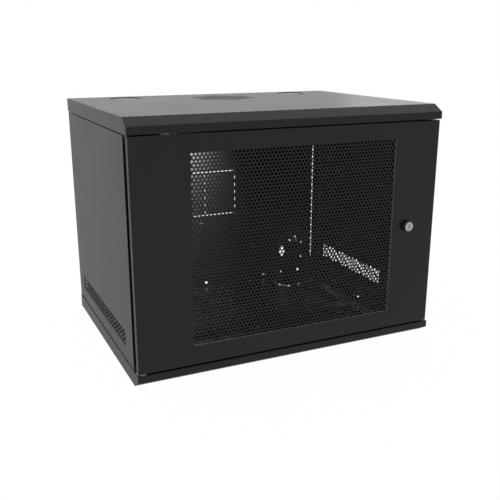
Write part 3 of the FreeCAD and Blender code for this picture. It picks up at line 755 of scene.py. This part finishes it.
door_mesh()
door_with_painted_edge_highlights()
rear_with_knockouts()
vented_side("left_side_panel", -1)
vented_side("right_side_panel", 1)
cover_with_fan_vent()
for level, up in (("base", 1), ("top", -1)):
    for hand, side in (("left", -1), ("right", 1)):
        cable_cover(f"{level}_{hand}_cable_cover", side, up)
hinge_washer()
coil_spring()
lock_body()
rail_screws()
floor_screws()
cable_cover_screws()
earth_fasteners()


# ---- stage ---------------------------------------------------------------------------------------
# strength of the white surroundings in reflections: from the front, from behind and off the far floor
FRONT_SHARE = 0.5
BACK_SHARE = 1.1
FLOOR_BACK_SHARE = 0.61
# directions between which the surroundings change, as their share of +Y
SIDEWAYS = 0.0
BEHIND = 0.9
# how much of the surroundings lights a matt surface
MATT_SHARE = 0.45
# the floor's near and far end of the change from front to back
FLOOR_NEAR = -0.45
FLOOR_FAR = 0.1
FLOOR_SIZE = 12.0
FLOOR_DROP = 0.5 * MM
# a little of the matt floor shows through its glow, so that it keeps the cabinet's shadow
GLOW_SHARE = 0.93
GLOW = 1.06

CAMERA_PLACE = (-0.5758, -1.2651, 0.5608)
CAMERA_DOWN = math.radians(16.40)
CAMERA_RIGHT = math.radians(24.90)
LENS_MM = 50.2
SENSOR_MM = 36.0


def studio_floor():
    """Pale floor that the camera sees white, apart from the object's shadow."""
    material = new_material("white_studio_floor")
    tree = material.node_tree
    path = add_node(tree, "ShaderNodeLightPath")
    place = add_node(tree, "ShaderNodeTexCoord")
    split = add_node(tree, "ShaderNodeSeparateXYZ", links={0: (place, "Object")})
    behind = add_node(tree, "ShaderNodeMapRange",
                      {1: FLOOR_NEAR, 2: FLOOR_FAR, 3: FRONT_SHARE, 4: FLOOR_BACK_SHARE}, {0: (split, "Y")})
    matt = add_node(tree, "ShaderNodeBsdfDiffuse", {"Color": linear("#bcbcbc")})
    glow = add_node(tree, "ShaderNodeEmission", {"Color": (1, 1, 1, 1), "Strength": GLOW})
    shine = add_node(tree, "ShaderNodeMath", {"operation": "MULTIPLY"},
                     {0: (path, "Is Glossy Ray"), 1: (behind, 0)})
    seen = add_node(tree, "ShaderNodeMath", {"operation": "MAXIMUM"},
                    {0: (path, "Is Camera Ray"), 1: (shine, 0)})
    share = add_node(tree, "ShaderNodeMath", {"operation": "MULTIPLY", 1: GLOW_SHARE}, {0: (seen, 0)})
    mix = add_node(tree, "ShaderNodeMixShader", links={0: (share, 0), 1: (matt, 0), 2: (glow, 0)})
    add_node(tree, "ShaderNodeOutputMaterial", links={"Surface": (mix, 0)})
    shape = bmesh.new()
    bmesh.ops.create_grid(shape, x_segments=1, y_segments=1, size=FLOOR_SIZE,
                          matrix=Matrix.Translation((0, 0, cad_low.z - FLOOR_DROP)))
    floor = new_piece("studio_floor", shape, material)


def studio_world():
    """White for the camera; its reflections and light are stronger from behind than from the front."""
    world = bpy.data.worlds.new("studio")
    bpy.context.scene.world = world
    world.use_nodes = True
    tree = world.node_tree
    tree.nodes.clear()
    path = add_node(tree, "ShaderNodeLightPath")
    seen = add_node(tree, "ShaderNodeMath", {"operation": "MAXIMUM"},
                    {0: (path, "Is Camera Ray"), 1: (path, "Is Transmission Ray")})
    way = add_node(tree, "ShaderNodeTexCoord")
    split = add_node(tree, "ShaderNodeSeparateXYZ", links={0: (way, "Generated")})
    behind = add_node(tree, "ShaderNodeMapRange",
                      {1: SIDEWAYS, 2: BEHIND, 3: FRONT_SHARE, 4: BACK_SHARE}, {0: (split, "Y")})
    matt_share = add_node(tree, "ShaderNodeMath", {"operation": "MULTIPLY", 1: MATT_SHARE}, {0: (behind, 0)})
    strength = add_node(tree, "ShaderNodeMix", {"data_type": "FLOAT"},
                        {0: (path, "Is Glossy Ray"), 2: (matt_share, 0), 3: (behind, 0)})
    white = add_node(tree, "ShaderNodeBackground", {"Color": (1, 1, 1, 1), "Strength": 1.0})
    dim = add_node(tree, "ShaderNodeBackground", {"Color": (1, 1, 1, 1)}, {"Strength": (strength, 0)})
    mix = add_node(tree, "ShaderNodeMixShader", links={0: (seen, 0), 1: (dim, 0), 2: (white, 0)})
    add_node(tree, "ShaderNodeOutputWorld", links={"Surface": (mix, 0)})


def softbox(name, place, target, size, power, spread=180):
    """A square lamp that the camera can't see, aimed at a target. power is in watts, spread in degrees."""
    light = bpy.data.lights.new(name, "AREA")
    light.shape = "SQUARE"
    light.size = size
    light.energy = power
    light.spread = math.radians(spread)
    lamp = bpy.data.objects.new(name, light)
    bpy.context.scene.collection.objects.link(lamp)
    lamp.location = place
    lamp.rotation_euler = (Vector(target) - Vector(place)).to_track_quat("-Z", "Y").to_euler()
    lamp.visible_camera = False


studio_floor()
studio_world()
softbox("key_above_left", place=(-1.6, -0.4, 2.4), target=(0, 0, 0.2), size=1.6, power=4.5)
softbox("right_behind", place=(2.6, 2.6, 1.0), target=(0, 0, 0.4), size=1.2, power=4)
softbox("fill_front", place=(-0.5, -2.6, 1.6), target=(0, 0, 0.2), size=1.5, power=3)
softbox("through_the_fan_vent", place=(-0.07, 0.08, 0.41), target=(-0.09, 0.225, 0.31), size=0.06, power=4.6,
        spread=90)

camera_data = bpy.data.cameras.new("camera")
camera_data.sensor_width = SENSOR_MM
camera_data.lens = LENS_MM
camera = bpy.data.objects.new("camera", camera_data)
bpy.context.scene.collection.objects.link(camera)
camera.location = CAMERA_PLACE
camera.rotation_euler = (math.radians(90) - CAMERA_DOWN, 0, -CAMERA_RIGHT)
bpy.context.scene.camera = camera
bpy.context.scene.view_settings.view_transform = "Standard"
